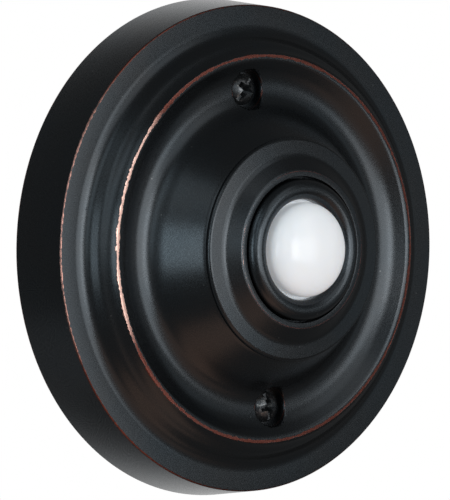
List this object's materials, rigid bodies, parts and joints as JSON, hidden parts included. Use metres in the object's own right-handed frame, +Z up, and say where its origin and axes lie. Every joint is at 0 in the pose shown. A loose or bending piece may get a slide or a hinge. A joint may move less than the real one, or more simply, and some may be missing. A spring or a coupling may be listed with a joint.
{
  "type": "doorbell push button",
  "caption": "Round surface-mounted doorbell push button: moulded ogee cover, domed lit pearl button in a half-round collar, push switch and terminals behind.",
  "frame": {"origin": "centre of the wall plane, on the button's axis", "axes": "+Z up the wall, -Y out from the wall towards whoever presses the button, +Y into the wall, +X to the right seen from the front"},
  "size_m": [0.0822, 0.0431, 0.0822],
  "materials": {
    "cover_finish": "satin, dark oil-rubbed bronze with copper wear",
    "collar_finish": "satin, dark oil-rubbed bronze with copper wear",
    "screw_finish": "semi-gloss dark bronze",
    "pearl_plastic": "gloss, translucent pearl white",
    "brass": "bright",
    "plated_steel": "zinc plated",
    "spring_steel": "drawn wire",
    "black_plastic": "moulded, matt",
    "lamp_resin": "gloss, diffused resin",
    "resistor_paint": "painted"
  },
  "bodies": {
    "housing": {"cover_plate": "cover_finish", "bezel_ring": "collar_finish", "mounting_screw_upper": "screw_finish", "mounting_screw_lower": "screw_finish", "retaining_nut": "brass", "lock_washer": "plated_steel", "return_spring": "spring_steel", "switch_housing": "black_plastic", "terminal_base": "black_plastic", "housing_screw_upper": "plated_steel", "housing_screw_lower": "plated_steel", "contact_strip_left": "brass", "contact_strip_right": "brass", "terminal_screw_left": "brass", "terminal_screw_right": "brass", "terminal_washer_left": "brass", "terminal_washer_right": "brass", "led_lamp": "lamp_resin", "lamp_lead_left": "plated_steel", "lamp_lead_right": "plated_steel", "lamp_resistor": "resistor_paint"},
    "button": {"button_cap": "pearl_plastic", "contact_cup": "brass"}
  },
  "joints": [
    {"name": "button_press", "type": "slide", "parent": "housing", "child": "button", "axis": [0, 1, 0], "range_m": [0, 0.0015], "stiffness_N_per_m": 400, "deforming": ["return_spring"]}
  ]
}
